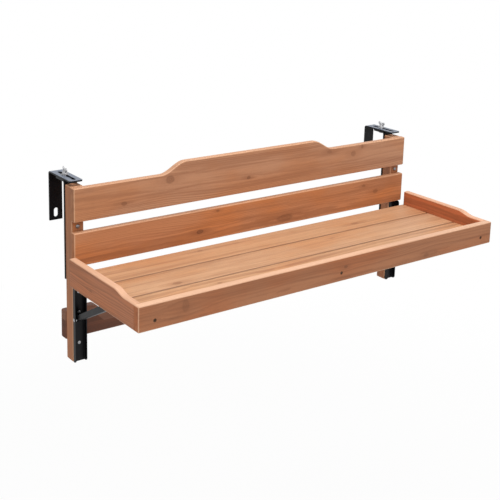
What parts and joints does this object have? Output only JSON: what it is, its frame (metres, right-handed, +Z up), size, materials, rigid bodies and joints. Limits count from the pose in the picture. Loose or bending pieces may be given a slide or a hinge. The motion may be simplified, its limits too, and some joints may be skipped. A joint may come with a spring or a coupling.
{
  "type": "folding wall table",
  "caption": "Wall-hung folding bar table: slatted softwood tray with a raised rim below a shaped back board, on fold-down strut brackets and adjustable top hooks.",
  "frame": {"origin": "centre of the lower rail's rear face, which bears on the wall or railing", "axes": "+X along the table to its right end as seen from the front, +Y to the wall, +Z up"},
  "size_m": [1.2, 0.5026, 0.5114],
  "materials": {
    "frame_wood": "stained and waxed softwood",
    "tray_wood": "lightly stained softwood",
    "black_steel": "satin black powder coat",
    "zinc": "bright zinc plate"
  },
  "bodies": {
    "frame": {"post_left": "frame_wood", "post_right": "frame_wood", "back_slat_top": "frame_wood", "back_slat_middle": "frame_wood", "lower_rear_rail": "frame_wood", "post_channel_left": "black_steel", "post_channel_right": "black_steel", "post_strap_left": "black_steel", "post_strap_right": "black_steel", "hinge_pin_left": "zinc", "hinge_pin_right": "zinc", "strut_rivet_left": "zinc", "strut_rivet_right": "zinc", "strut_spacer_left_inner": "zinc", "strut_spacer_left_outer": "zinc", "strut_spacer_right_inner": "zinc", "strut_spacer_right_outer": "zinc", "hook_bolt_left": "zinc", "hook_bolt_right": "zinc", "hook_washer_left": "zinc", "hook_washer_right": "zinc", "strap_bolt_left": "zinc", "strap_bolt_right": "zinc", "strap_nut_left": "zinc", "strap_nut_right": "zinc", "strap_screw_left": "zinc", "strap_screw_right": "zinc", "channel_screw_left_lower": "zinc", "channel_screw_left_middle": "zinc", "channel_screw_left_upper": "zinc", "channel_screw_right_lower": "zinc", "channel_screw_right_middle": "zinc", "channel_screw_right_upper": "zinc"},
    "tray": {"tray_slat_rear": "tray_wood", "tray_slat_middle": "tray_wood", "tray_slat_front": "tray_wood", "front_apron": "frame_wood", "end_board_left": "frame_wood", "end_board_right": "frame_wood", "tray_batten": "frame_wood", "support_arm_left": "black_steel", "support_arm_right": "black_steel", "apron_screw_left": "zinc", "apron_screw_middle": "zinc", "apron_screw_right": "zinc", "arm_screw_left_rear": "zinc", "arm_screw_left_front": "zinc", "arm_screw_right_rear": "zinc", "arm_screw_right_front": "zinc"},
    "left_strut": {"strut_left": "black_steel", "slider_pin_left": "zinc"},
    "right_strut": {"strut_right": "black_steel", "slider_pin_right": "zinc"},
    "left_hook": {"hook_left": "black_steel"},
    "right_hook": {"hook_right": "black_steel"},
    "left_wing_nut": {"wing_nut_left": "zinc"},
    "right_wing_nut": {"wing_nut_right": "zinc"}
  },
  "joints": [
    {"name": "tray_fold", "type": "hinge", "parent": "frame", "child": "tray", "pos_m": [0, -0.0836, 0.135], "axis": [1, 0, 0], "range_deg": [0, 90]},
    {"name": "left_strut_swing", "type": "hinge", "parent": "frame", "child": "left_strut", "pos_m": [-0.5602, -0.0728, 0.031], "axis": [1, 0, 0], "range_deg": [0, 116.3]},
    {"name": "right_strut_swing", "type": "hinge", "parent": "frame", "child": "right_strut", "pos_m": [0.5602, -0.0728, 0.031], "axis": [1, 0, 0], "range_deg": [0, 116.3]},
    {"name": "left_hook_slide", "type": "slide", "parent": "frame", "child": "left_hook", "axis": [0, 1, 0], "range_m": [-0.0315, 0.0515]},
    {"name": "right_hook_slide", "type": "slide", "parent": "frame", "child": "right_hook", "axis": [0, 1, 0], "range_m": [-0.0315, 0.0515]},
    {"name": "left_wing_nut_turn", "type": "hinge", "parent": "frame", "child": "left_wing_nut", "pos_m": [-0.5602, 0.005, 0.4035], "axis": [0, 0, 1], "continuous": true},
    {"name": "right_wing_nut_turn", "type": "hinge", "parent": "frame", "child": "right_wing_nut", "pos_m": [0.5602, 0.005, 0.4035], "axis": [0, 0, 1], "continuous": true}
  ],
  "couplings": [
    {"joint": "left_strut_swing", "follows": "tray_fold", "ratio": 1.2921},
    {"joint": "right_strut_swing", "follows": "tray_fold", "ratio": 1.2921}
  ]
}
